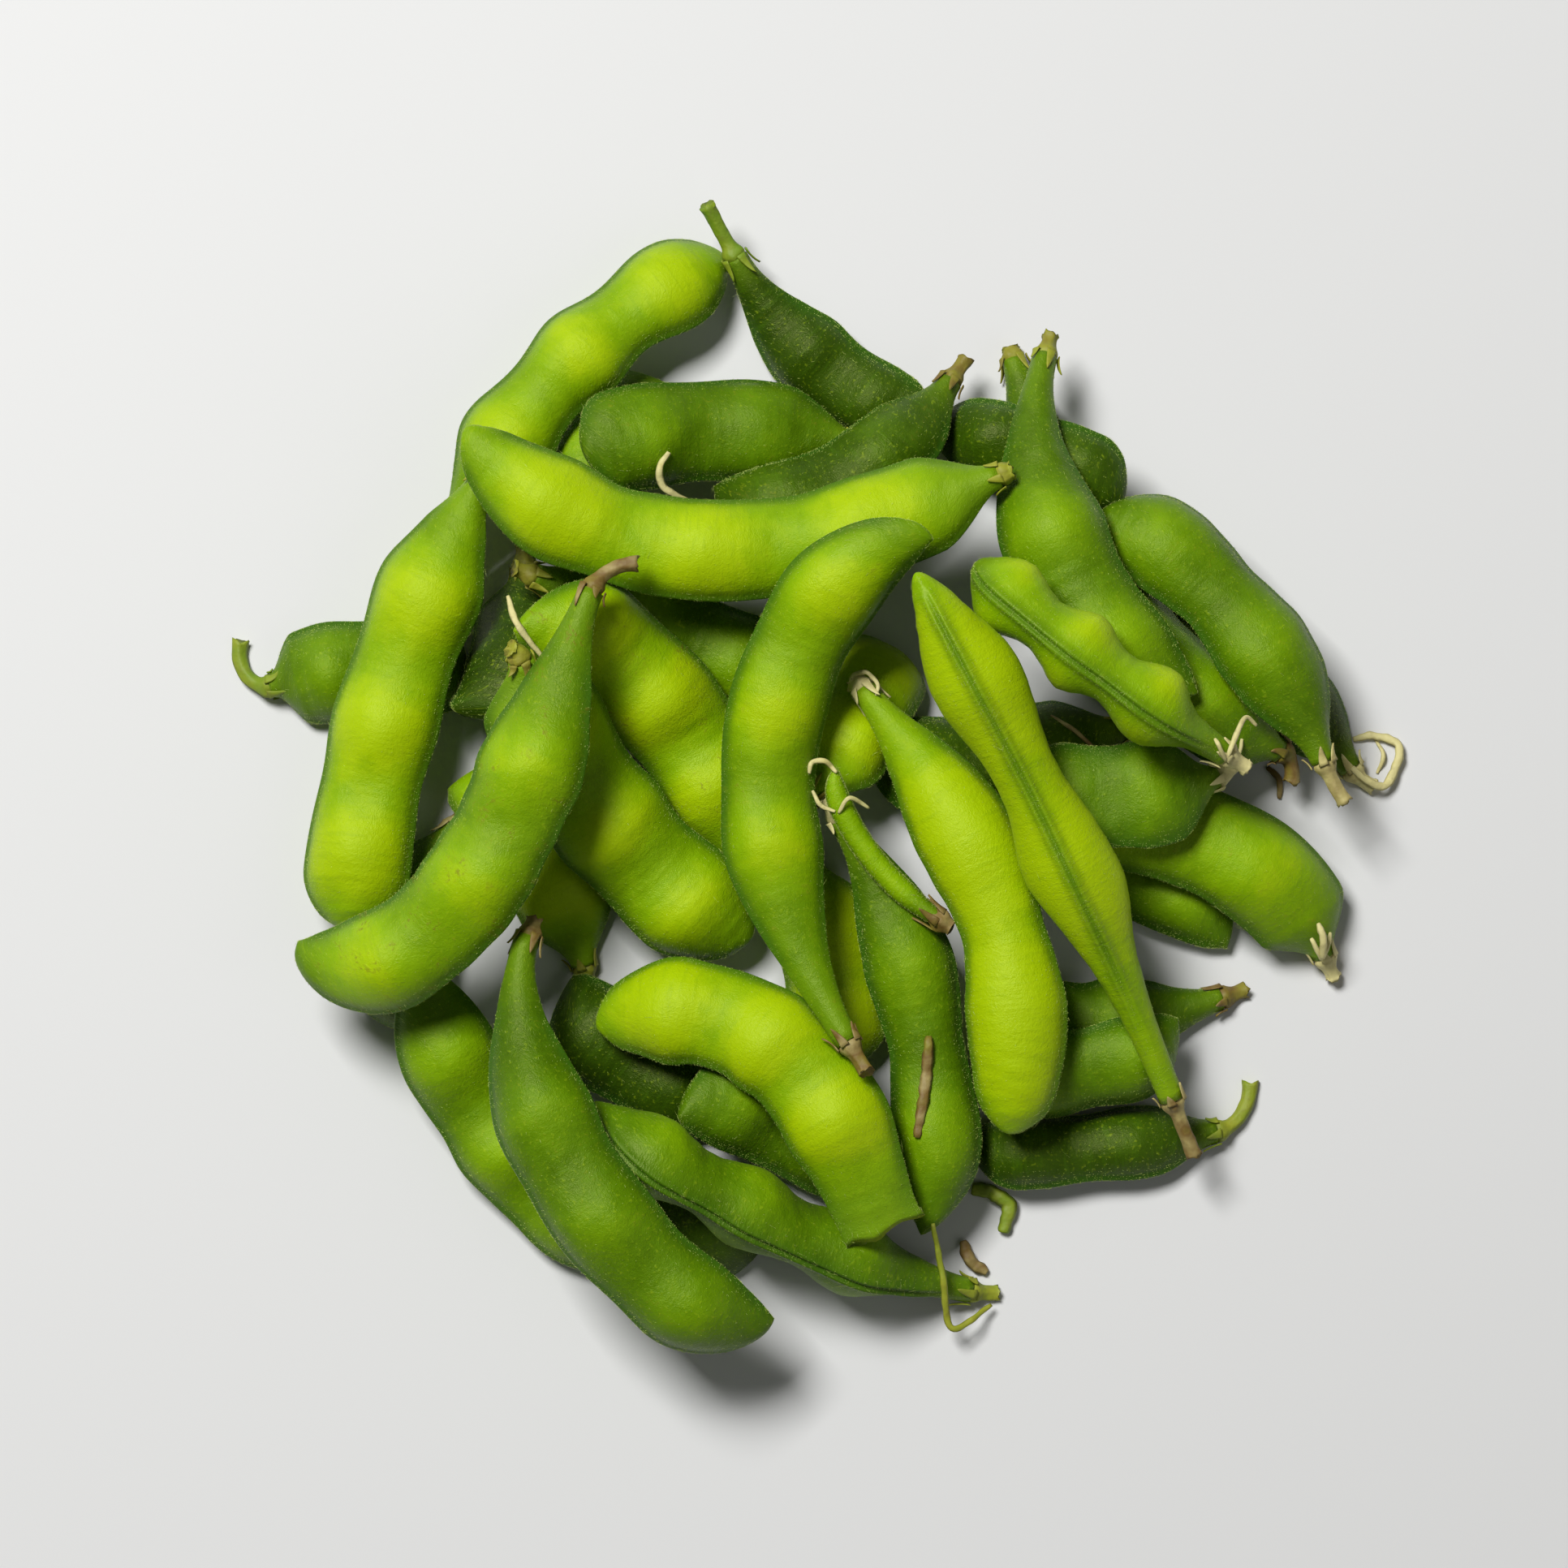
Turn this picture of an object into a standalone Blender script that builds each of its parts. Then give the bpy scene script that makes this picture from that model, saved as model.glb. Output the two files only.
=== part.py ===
"""A bundle of boiled edamame pods, heaped loose on a flat surface.

Every pod is one solid: a skin lofted from the cut end of its stalk to the beak at its tip, with
the beans swelling its two flat sides and a seam standing out along each edge. The pods are laid
down one by one, the lowest first. Each is lowered on to those already there and leans and
bends until they carry it on both sides of its middle.

Metres, +Z up. +X is to the right and +Y to the back. The origin is on the surface that the
bundle rests on, below the middle of its box.
"""

import math
from collections import namedtuple

import bmesh
import bpy
import numpy as np
from mathutils import Euler, Matrix, Vector
from mathutils.bvhtree import BVHTree

MM = 0.001  # every size below is in millimetres

# ---- the shape of a pod --------------------------------------------------------------------
USUAL_WIDTH = 12.5
BEAN_THICKNESS = 9.8  # over a bean, on a pod of the usual width
BETWEEN_BEANS = 0.54  # thickness between two beans, as a share of that over a bean
BEAN_REACH = 0.37  # half a bean's length, as a share of the distance between two beans
BEANS_START = 0.6  # where the room for the beans starts, as a share of the neck
BEANS_END = 0.97  # where it ends, as a share of the length
NECK_DIAMETER = 3.2
WIDEST_NECK = 0.7  # of a thin pod, as a share of its width
TIP_SHARE = 0.2  # share of the length over which the tip closes
ROUND_TIP_SHARE = 0.12  # the same where the tip has no beak
TIP_POWER = 0.55  # below 1 makes the tip blunt
BEAK_LEAN = 0.8  # how far the point lies towards the hollow edge, as a share of half the width
SEAM_HEIGHT = 0.45
FLANK_POWER = 1.25  # above 1 makes the section a lens that is sharper at its seams
SECTION = (0, 16, 58, 122, 164, 180, 196, 238, 302, 344)  # degrees, a seam at 0 and at 180

# ---- the foot: a stalk and the collar that is left of the calyx, or a torn mouth ------------
STALK_RADIUS = 1.0
STALK_STEP = 0.03  # the stalk carries on the way the foot heads over this share of the length
COLLAR_RADIUS = 1.75
COLLAR_LENGTH = 1.2
TORN_WIDTH = 0.8  # a torn end, as a share of the pod's width
TORN_THICKNESS = 2.4
# The rings of the foot, each as two shares: of length and radius for the stalk and the collar,
# of the body's length and section for the mouth, whose first ring lies inside the body.
STALK_RINGS = ((1.0, 0.0), (1.0, 1.05), (0.6, 0.85), (0.15, 0.95))
COLLAR_RINGS = ((1.0, 1.0), (0.1, 0.95))
MOUTH_RINGS = ((0.08, 0.0), (0.01, 0.6), (0.0, 1.0), (0.012, 1.0), (0.025, 1.0), (0.037, 1.0))
FOOT_RINGS = 6
BODY_RINGS = 13
RINGS = FOOT_RINGS + BODY_RINGS - 1
BODY_START, BODY_END = 0.05, 0.985  # the first and the last ring, as shares of the length

# ---- how the pods lie ----------------------------------------------------------------------
CLEARANCE = 0.3
PRESSED = 0.4  # how deep the surface flattens a pod that lies on it
STEEPEST = math.tan(math.radians(30))
CELL = 0.45  # of the height map that the pods are lowered on
REACH = 96.0  # half the height map
FAR = 200.0  # above and below every pod
ROOM = 3.0  # round a pod, in which its cells are looked for
MOST_DROOP = 0.09  # how far a pod bends up or down in its middle, as a share of its length
DROOP_STEPS = 13
SLIDE_EFFORT = 0.6  # how much lower a pod must get for each millimetre that it slides
SLIDES = (0, -0.8, 0.8)  # to its left, into the hollow that lets it lie lowest
WEIGHT_PLACE = 0.54  # the middle of a pod's weight, as a share of its length
MEAN_HANG = 2 / 3  # how far a whole pod hangs, as a share of its droop
LEAN_ROUNDS = 4
SEARCH_ROUNDS = 30
MIDDLE = (0.71, 1.53)  # of the finished bundle's box, in the frame of the places below

# ---- colour --------------------------------------------------------------------------------
DEEP_GREEN = (0.07, 0.17, 0.004)
YELLOW_GREEN = (0.36, 0.46, 0.01)
ROUGHNESS = 0.4

# ---- the pods ------------------------------------------------------------------------------
# foot and tip: the two ends of the body, seen from above.
# bow: how far the middle stands to the left of the line from foot to tip.
# roll: 0 lies on a flat side, 90 stands on a seam. plump: how thick it is for its width.
# stalk: its length. curl: how far it turns, in degrees. peak: where it bends most. neck: the
# share of its length that is neck. full: below 1 makes the bow rounder towards its ends.
# waist: how much narrower it is between two beans. beak: how far its point leans, 0 for a
# rounded end. tint: 0 deep green, 1 yellow green.
Pod = namedtuple(
    "Pod", "foot tip bow beans width roll plump stalk curl torn peak neck full waist beak tint",
    defaults=(0, 3, 12.5, 0, 1.0, 1.5, 0, False, 0.5, 0.25, 1.0, 0.1, 1.0, 0.5),
)

# How a pod comes to lie: how far it slid to its left, how high its foot is, how steeply it rises
# to its tip, and how far its middle hangs below its ends.
Lie = namedtuple("Lie", "slide height lean droop")

# The heap, from the bottom up.
PODS = {
    # On the surface, or nearly so.
    "pod_dark_gap": Pod((41, 8), (8, 3), 2, 2, 12, 10, tint=0.1),
    "pod_right_dark": Pod((69.4, 2.8), (40, 23), -3, 2, 11, 12, 1, 2.5, 20, tint=0),
    "pod_right_low": Pod((52.7, -26.2), (24, -29), 1.5, 2, 10, 0, 1, 2.3, neck=0.45, tint=0.45),
    "pod_stalk_right": Pod((52, -42.9), (21, -46.2), 0.4, 2, 8.4, 10, 1.25, 6.5, 75, tint=0.1),
    "pod_right_lower": Pod((20, -37.5), (47.7, -32.6), -0.5, 2, 10, 15, tint=0.45),
    "pod_stalk_left": Pod((-66.2, 13.2), (-41, 15.7), 0.8, 2, 11.8, 10, 1, 6, -110, neck=0.15, tint=0.45),
    "pod_brown_end": Pod((-43.5, -5), (-49.8, -31), -2, 2, 11, 10, tint=0.25),
    "pod_left_gap": Pod((-35.5, 28), (-39.5, 8.5), 1.5, 1, 12, 20, tint=0),
    "pod_shaded": Pod((-33, 26), (0, 12.5), 0.5, 2, 11.5, 10, tint=0.5),
    "pod_left_pale": Pod((-27, -22), (-41, 3), -2, 2, 11.5, 0, tint=0.9),
    "pod_back_narrow": Pod((27.2, 54.5), (32, 28), 0.5, 2, 9.5, 30, 1, 0.5, neck=0.5, tint=0.35),
    "pod_back_pointed": Pod((16, 45.8), (41.5, 36.8), 0.5, 2, 9.5, 15, tint=0.1),
    "pod_back_pale": Pod((-28, 31), (-20.5, 53.5), 1, 1, 11.5, 10, tint=0.6),
    "pod_front_left": Pod((-47.5, -20), (-19, -59.5), -5.8, 3, 11.5, 0, tint=0.6),
    "pod_fuzzy": Pod((-20.5, -51), (-4.5, -57), -1, 1, 10, 15, 0.8, tint=0.15),
    "pod_front_round": Pod((-6, -41), (-31, -27), 1, 2, 12, 0, tint=0.05),
    "pod_front_inner": Pod((12, -50), (-14, -37.5), -1, 2, 11.5, 10, tint=0.35),
    "pod_right_slim": Pod((22, -7), (55.2, -16.8), 1.5, 2, 9.5),
    "pod_under_arch": Pod((2, -2), (12, 18), -1, 2, 11.5, 0, tint=0.9),
    "pod_beside_arch": Pod((1, -9), (5, -36), 0.8, 2, 11.5, 10, tint=1),
    # Leaning on those.
    "pod_right_inner": Pod((60, 4.5), (34, 30), 3.3, 2, 11.8, 10, 1, 3, -60, neck=0.15, tint=0.5),
    "pod_right_top": Pod((64.3, 2), (36.8, 34.5), -3.6, 2, 11.8, 12, 1, 4.5, 10, waist=0.2),
    "pod_back_left": Pod((-44, 31), (-9.3, 67.3), 4, 3, 11.5, -5, waist=0.3, beak=0, tint=0.8),
    "pod_back_stalk": Pod((-8, 66.8), (15, 46), -2.5, 2, 10, 15, 1, 6, neck=0.5, tint=0.05),
    "pod_back_middle": Pod((7, 44), (-26.8, 42), -2.5, 2, 12.6, 0, beak=0, tint=0.35),
    "pod_back_dark": Pod((18.5, 51.5), (-11, 34.5), 4.2, 2, 10.3, 20, 1, 2.5, tint=0.15),
    "pod_far_right": Pod((65.3, -21.5), (28, -1), -5, 2, 12.8, 0, 1, 2, peak=0.38, neck=0.12, tint=0.7),
    "pod_leaf": Pod((51.5, 0.5), (28, -1.5), 1.5, 2, 12.5, 0, 0.5, 2, 20, tint=0.45),
    "pod_back_right": Pod((30.7, 53.5), (45.2, 8.2), -6.5, 2, 12.5, 5, 1, 2, peak=0.46, neck=0.5, tint=0.55),
    "pod_seam_up": Pod((52, 2.6), (20.6, 26.2), 1.2, 3, 10, 70, 1.3, 2, tint=0.75),
    "pod_slim": Pod((5, -4.6), (18.3, -55.2), 3.8, 2, 10.5, 0, 1, 2, peak=0.4, neck=0.3, waist=0.25, tint=0.5),
    "pod_left": Pod((-38.5, 38), (-55, -18.5), -3.2, 3, 12.8, 5, waist=0.12, beak=0, tint=0.85),
    "pod_middle_left": Pod((-4, -13), (-32.8, 22.3), -4.6, 3, 13.5, 5, tint=0.85),
    "pod_middle": Pod((-33.5, 14.5), (-6, -19.5), -3.6, 3, 14, 0, 1, 0.8, 20, neck=0.12, beak=0.2, tint=0.75),
    "pod_front_double": Pod((21.5, -62), (-25, -41.2), 2.2, 3, 11.8, 60, 1.1, 2.5, 10, peak=0.45, neck=0.3),
    # On top.
    "pod_top_back": Pod(
        (24.5, 36.5), (-41.7, 42), 12, 3, 12, 0, 1, 0.5, peak=0.56, neck=0.13, full=0.9, beak=0.2, tint=0.85
    ),
    "pod_torn": Pod((10, -56), (-25.8, -29.8), -10.3, 3, 12.6, 0, 1, 0, 0, True, 0.55, beak=0.2, tint=0.9),
    "pod_front_hooked": Pod(
        (-32.6, -19.2), (-4.3, -69.8), -9.3, 3, 11.8, 5, 1, 1.2, peak=0.45, neck=0.35, full=0.8, tint=0.35
    ),
    "pod_top_left": Pod(
        (-25.4, 22.3), (-63.5, -24.2), 11.4, 3, 12.6, 5, 1, 5, -60, peak=0.63, neck=0.35, full=0.78, tint=0.7
    ),
    "pod_thin": Pod((17, -17), (3.5, 1), 2, 0, 3.0, 0, 1, 1, tint=0.6),
    "pod_brightest": Pod(
        (7.3, 11.2), (25, -43.8), 7, 2, 11.6, 5, 1, 0.6, peak=0.54, neck=0.3, waist=0.25, beak=0, tint=1
    ),
    "pod_top_right": Pod(
        (46.7, -38.8), (14.8, 24.4), -1.2, 2, 10.8, 80, 1.35, 6.5, neck=0.42, waist=0.3, beak=0.3, tint=1
    ),
    "pod_top_middle": Pod(
        (6, -32.5), (14.4, 32.2), 14.2, 3, 11.6, 10, 1, 3, peak=0.53, neck=0.35, full=0.88, tint=0.75
    ),
}


# ---- shape ---------------------------------------------------------------------------------
def ease(share):
    """A smooth rise from 0 to 1."""
    share = min(max(share, 0.0), 1.0)
    return share * share * (3 - 2 * share)


def bean_swell(pod, along):
    """1 over a bean and 0 well away from the beans."""
    if pod.beans == 0:
        return 1.0
    first = pod.neck * BEANS_START
    spacing = (BEANS_END - first) / pod.beans
    swell = 0.0
    for bean in range(pod.beans):
        offset = (along - first - (bean + 0.5) * spacing) / (BEAN_REACH * spacing)
        swell += math.exp(-offset * offset)
    return min(swell, 1.0)


def half_sizes(pod, along):
    """Half the width, half the thickness and the lean to the hollow edge at a share of the length.

    The lean grows as the tip closes, so that the hollow edge runs on into the beak.
    """
    swell = bean_swell(pod, along)
    width = pod.width * (1 - pod.waist * (1 - swell))
    thickness = BEAN_THICKNESS * pod.plump * pod.width / USUAL_WIDTH
    thickness *= BETWEEN_BEANS + (1 - BETWEEN_BEANS) * swell
    opening = ease(along / pod.neck)
    if pod.torn:
        width *= TORN_WIDTH + (1 - TORN_WIDTH) * opening
        thickness = TORN_THICKNESS + (thickness - TORN_THICKNESS) * opening
    else:
        neck = min(NECK_DIAMETER, pod.width * WIDEST_NECK)
        width = neck + (width - neck) * opening
        thickness = neck + (thickness - neck) * opening
    tip_share = TIP_SHARE if pod.beak else ROUND_TIP_SHARE
    closing = max(0.0, (along - 1 + tip_share) / tip_share)
    open_share = (1 - closing**2) ** TIP_POWER
    lean = math.copysign(BEAK_LEAN * pod.beak * (1 - open_share) * width / 2, -pod.bow)
    return width * open_share / 2, thickness * open_share / 2, lean


def middle_line(pod, length, along):
    """A point of the pod's middle line, seen from above, in its own frame, with the foot at 0."""
    if pod.peak < 0.5:
        bend = 1 - (1 - along) ** (math.log(0.5) / math.log(1 - pod.peak))
    else:
        bend = along ** (math.log(0.5) / math.log(pod.peak))
    return np.array((length * along, pod.bow * (4 * bend * (1 - bend)) ** pod.full))


def stalk_line(pod, length, back):
    """A point of the stalk's middle line, at a distance back from the foot."""
    start = middle_line(pod, length, 0.0)
    step = middle_line(pod, length, STALK_STEP) - start
    heading = math.atan2(step[1], step[0]) + math.pi
    bend = math.radians(pod.curl) / max(pod.stalk, 1.0)
    heading += bend * back / 2
    return start + back * np.array((math.cos(heading), math.sin(heading)))


def foot_station(pod, length, ring):
    """Middle point, half width, half thickness and lean of a ring of mouth, stalk or collar."""
    if pod.torn:
        along, share = MOUTH_RINGS[ring]
        half_width, half_thickness, lean = half_sizes(pod, along)
        return middle_line(pod, length, along), half_width * share, half_thickness * share, lean
    if ring < len(STALK_RINGS):
        along, share = STALK_RINGS[ring]
        back = COLLAR_LENGTH + pod.stalk * along
        radius = STALK_RADIUS * share
    else:
        along, share = COLLAR_RINGS[ring - len(STALK_RINGS)]
        back = COLLAR_LENGTH * along
        radius = min(COLLAR_RADIUS, pod.width / 2) * share
    return stalk_line(pod, length, back), radius, radius, 0.0


def station(pod, length, ring):
    """Middle point, half width, half thickness and lean of one ring or pole."""
    if ring < FOOT_RINGS:
        return foot_station(pod, length, ring)
    if ring > RINGS:
        return middle_line(pod, length, 1.0), *half_sizes(pod, 1.0)
    along = BODY_START + (BODY_END - BODY_START) * (ring - FOOT_RINGS) / (BODY_RINGS - 1)
    return middle_line(pod, length, along), *half_sizes(pod, along)


def section_point(pod, side, half_width, half_thickness, lean):
    """A point of the section, to the left of the middle line and above it."""
    angle = math.radians(SECTION[side])
    left = half_width * math.cos(angle)
    up = half_thickness * math.copysign(abs(math.sin(angle)) ** FLANK_POWER, math.sin(angle))
    if SECTION[side] in (0, 180) and half_width > COLLAR_RADIUS:
        left += math.copysign(SEAM_HEIGHT, left)
    left += lean
    roll = math.radians(pod.roll)
    return (
        left * math.cos(roll) - up * math.sin(roll),
        left * math.sin(roll) + up * math.cos(roll),
    )


def shape_pod(mesh, pod, lie):
    """Moves a sphere's vertices out to the pod's skin, in the pod's own frame.

    A pod that leans is lengthened, so that it still covers the same ground.
    """
    length = math.dist(pod.foot, pod.tip)
    stretch = math.hypot(1.0, lie.lean)
    rings = [station(pod, length, ring) for ring in range(RINGS + 2)]
    centres = []
    for (forward, left), *_ in rings:
        hang = lie.droop / stretch * hang_share(forward, length)
        centres.append(Vector((forward * stretch, left, -hang)))
    for vertex in mesh.verts:
        ring = round((1 - math.acos(max(-1.0, min(1.0, vertex.co.z))) / math.pi) * (RINGS + 1))
        middle = min(max(ring, 2), RINGS - 1)  # the ends head the way of the rings beside them
        forward = (centres[middle + 1] - centres[middle - 1]).normalized()
        sideways = Vector((-forward.y, forward.x, 0)).normalized()
        upward = forward.cross(sideways)
        side = round(math.atan2(vertex.co.y, vertex.co.x) * len(SECTION) / math.tau)
        left, up = section_point(pod, side % len(SECTION), *rings[ring][1:])
        vertex.co = (centres[ring] + left * sideways + up * upward) * MM


def pod_mesh(name, pod, lie):
    """The pod's skin as a mesh of triangles."""
    mesh = bmesh.new()
    bmesh.ops.create_uvsphere(mesh, u_segments=len(SECTION), v_segments=RINGS + 1, radius=1)
    shape_pod(mesh, pod, lie)
    bmesh.ops.triangulate(mesh, faces=mesh.faces)
    data = bpy.data.meshes.new(name)
    mesh.to_mesh(data)
    mesh.free()
    return data


# ---- laying the pods down ------------------------------------------------------------------
def leftward(pod):
    """The direction to the left of the line from foot to tip, seen from above."""
    length = math.dist(pod.foot, pod.tip)
    return np.array((pod.foot[1] - pod.tip[1], pod.tip[0] - pod.foot[0])) / length


def placed(pod, lie):
    """The pod's frame: its foot over its place, and X turned to its tip and leaned."""
    heading = math.atan2(pod.tip[1] - pod.foot[1], pod.tip[0] - pod.foot[0])
    turn = Euler((0, -math.atan(lie.lean), heading)).to_matrix().to_4x4()
    foot = np.array(pod.foot) + lie.slide * leftward(pod)
    return Matrix.Translation(Vector((*foot, lie.height)) * MM) @ turn


class HeightMap:
    """The top of what lies on the surface so far, in millimetres on a square grid."""

    def __init__(self):
        self.places = np.arange(-REACH, REACH, CELL)
        self.top = np.full((len(self.places), len(self.places)), -np.inf)

    def cells_near(self, pod):
        """The indices of the cells that the pod may cover."""
        foot, tip = np.array(pod.foot), np.array(pod.tip)
        chord = (tip - foot) / math.dist(pod.foot, pod.tip)
        x, y = np.meshgrid(self.places, self.places, indexing="ij")
        forward = (x - foot[0]) * chord[0] + (y - foot[1]) * chord[1]
        sideways = (y - foot[1]) * chord[0] - (x - foot[0]) * chord[1]
        margin = pod.width / 2 + ROOM
        low, high = min(pod.bow, 0) - margin, max(pod.bow, 0) + margin
        end = pod.stalk + COLLAR_LENGTH + ROOM
        close = (forward > -end) & (forward < math.dist(pod.foot, pod.tip) + ROOM)
        close &= (sideways > min(low, -end)) & (sideways < max(high, end))
        return np.argwhere(close), forward

    def scan(self, pod, data, frame):
        """Cells that the pod covers, its underside and its top there."""
        corners = [frame @ vertex.co / MM for vertex in data.vertices]
        skin = BVHTree.FromPolygons(corners, [tuple(face.vertices) for face in data.polygons])
        cells, forward = self.cells_near(pod)
        found = []
        for i, j in cells:
            x, y = self.places[i], self.places[j]
            below = skin.ray_cast(Vector((x, y, -FAR)), Vector((0, 0, 1)))[0]
            if below is None:
                continue
            above = skin.ray_cast(Vector((x, y, FAR)), Vector((0, 0, -1)))[0]
            found.append((i, j, forward[i, j], below.z, above.z))
        return np.array(found)

    def ground(self, pod, found, slide):
        """How low the underside may come in the cells found, with the pod moved by slide."""
        wide = self.top
        for axis in (0, 1):
            wide = np.maximum(wide, np.maximum(np.roll(wide, 1, axis), np.roll(wide, -1, axis)))
        moved = found[:, :2] + np.round(slide * leftward(pod) / CELL)
        i, j = moved[:, 0].astype(int), moved[:, 1].astype(int)
        return np.maximum(wide[i, j] + CLEARANCE, -PRESSED)

    def cover(self, found):
        """Raises the map to the top of a pod that has been laid down."""
        i, j = found[:, 0].astype(int), found[:, 1].astype(int)
        self.top[i, j] = np.maximum(self.top[i, j], found[:, 4])


def lowest_line(forward, needed, middle):
    """The line that stays above every height needed and is lowest at the pod's middle."""

    def height_at_middle(slope):
        return np.max(needed - slope * (forward - middle))

    low, high = -STEEPEST, STEEPEST
    for _ in range(SEARCH_ROUNDS):
        third = (high - low) / 3
        if height_at_middle(low + third) < height_at_middle(high - third):
            high -= third
        else:
            low += third
    slope = (low + high) / 2
    return height_at_middle(slope), slope


def hang_share(forward, length):
    """How much of its droop a pod has at a place along it: 1 in its middle, 0 at its ends."""
    return 4 * forward / length * (1 - forward / length)


def lowest_rest(forward, needed, length):
    """The droop, the height at the foot and the lean with which the pod's weight is lowest."""
    steps = np.round(forward / CELL).astype(int)
    places = np.unique(steps)
    highest = np.array([needed[steps == place].max() for place in places])
    along = places * CELL
    middle = WEIGHT_PLACE * length
    rests = []
    for droop in np.linspace(-MOST_DROOP, MOST_DROOP, DROOP_STEPS) * length:
        bent = highest + droop * hang_share(along, length)
        height, slope = lowest_line(along, bent, middle)
        rests.append((height - droop * MEAN_HANG, droop, height - slope * middle, slope))
    return min(rests)


def settle(name, pod, heights):
    """Lowers the pod on to the others: returns its mesh and its frame."""
    lie = Lie(0.0, 0.0, 0.0, 0.0)
    length = math.dist(pod.foot, pod.tip)
    for _ in range(LEAN_ROUNDS):
        data = pod_mesh(name, pod, lie)
        found = heights.scan(pod, data, placed(pod, lie._replace(height=0)))
        forward = found[:, 2]
        underside = found[:, 3] - lie.lean * forward + lie.droop * hang_share(forward, length)
        rests = []
        for slide in SLIDES if lie.height == 0 else (0,):
            needed = heights.ground(pod, found, slide) - underside
            weight, droop, height, lean = lowest_rest(forward, needed, length)
            rests.append((weight + SLIDE_EFFORT * abs(slide), slide, height, lean, droop))
        _, slide, height, lean, droop = min(rests)
        lie = Lie(lie.slide + slide, height, lean, droop)
    data = pod_mesh(name, pod, lie)
    found = heights.scan(pod, data, placed(pod, lie._replace(height=0)))
    height = np.max(heights.ground(pod, found, 0) - found[:, 3])
    found[:, 3:] += height
    heights.cover(found)
    return data, placed(pod, lie._replace(height=height))


def flatten_underneath(pod_object):
    """Presses the flat spot on which a pod lies on the surface."""
    frame = pod_object.matrix_basis
    for vertex in pod_object.data.vertices:
        place = frame @ vertex.co
        if place.z < 0:
            place.z = 0
            vertex.co = frame.inverted() @ place


# ---- colour --------------------------------------------------------------------------------
def pod_material(name, tint):
    """A plain green between the deepest and the yellowest."""
    deep, yellow = Vector(DEEP_GREEN), Vector(YELLOW_GREEN)
    material = bpy.data.materials.new(name)
    material.use_nodes = True
    shader = material.node_tree.nodes["Principled BSDF"]
    shader.inputs["Base Color"].default_value = (*deep.lerp(yellow, tint), 1)
    shader.inputs["Roughness"].default_value = ROUGHNESS
    return material


def main():
    for old in list(bpy.data.objects):
        bpy.data.objects.remove(old)
    bundle = bpy.data.collections.new("edamame_pod_bundle")
    bpy.context.scene.collection.children.link(bundle)
    heights = HeightMap()
    centre = Matrix.Translation(Vector((-MIDDLE[0], -MIDDLE[1], 0)) * MM)
    for name, pod in PODS.items():
        data, frame = settle(name, pod, heights)
        data.materials.append(pod_material(name, pod.tint))
        data.shade_smooth()
        pod_object = bpy.data.objects.new(name, data)
        pod_object.matrix_basis = centre @ frame
        bundle.objects.link(pod_object)
        flatten_underneath(pod_object)


main()
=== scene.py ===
"""The looks of a bundle of boiled edamame pods, heaped loose on a pale floor.

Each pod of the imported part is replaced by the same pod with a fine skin: the same formula with
many more rings, with seam ridges, wrinkles and hairs. How a pod lies is read from its CAD node.
Sizes are in millimetres until a mesh is made, and metres, +Z up, after that.
"""

import math
from collections import namedtuple

import bpy
import numpy as np
from mathutils import Euler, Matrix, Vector
from mathutils.bvhtree import BVHTree
from mathutils.kdtree import KDTree

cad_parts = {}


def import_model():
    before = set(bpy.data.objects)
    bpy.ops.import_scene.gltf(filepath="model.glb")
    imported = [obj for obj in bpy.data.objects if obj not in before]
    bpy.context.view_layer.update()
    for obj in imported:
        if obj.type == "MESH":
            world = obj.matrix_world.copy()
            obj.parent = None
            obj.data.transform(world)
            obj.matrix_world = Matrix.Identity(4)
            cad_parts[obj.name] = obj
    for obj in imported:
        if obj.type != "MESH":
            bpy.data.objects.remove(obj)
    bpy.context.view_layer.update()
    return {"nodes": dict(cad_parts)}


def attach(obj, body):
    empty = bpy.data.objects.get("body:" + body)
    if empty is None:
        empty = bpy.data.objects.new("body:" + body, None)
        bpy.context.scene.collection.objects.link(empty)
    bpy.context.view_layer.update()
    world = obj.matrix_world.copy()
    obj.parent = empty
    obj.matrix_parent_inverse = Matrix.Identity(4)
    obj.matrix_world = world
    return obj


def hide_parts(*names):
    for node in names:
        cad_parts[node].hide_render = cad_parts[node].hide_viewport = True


MM = 0.001

# ---- the shape of a pod, as in the part's source -------------------------------------------
USUAL_WIDTH = 12.5
BEAN_THICKNESS = 9.8
BETWEEN_BEANS = 0.54
BEAN_REACH = 0.37
BEANS_START = 0.6
BEANS_END = 0.97
NECK_DIAMETER = 3.2
WIDEST_NECK = 0.7
TIP_SHARE = 0.2
ROUND_TIP_SHARE = 0.12  # where the tip has no beak
TIP_POWER = 0.55
BEAK_LEAN = 0.8
SEAM_HEIGHT = 0.45
FLANK_POWER = 1.25
STALK_RADIUS = 1.0
STALK_STEP = 0.03
COLLAR_RADIUS = 1.75
COLLAR_LENGTH = 1.2
TORN_WIDTH = 0.8
TORN_THICKNESS = 2.4
MIDDLE = (0.71, 1.53)

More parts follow.
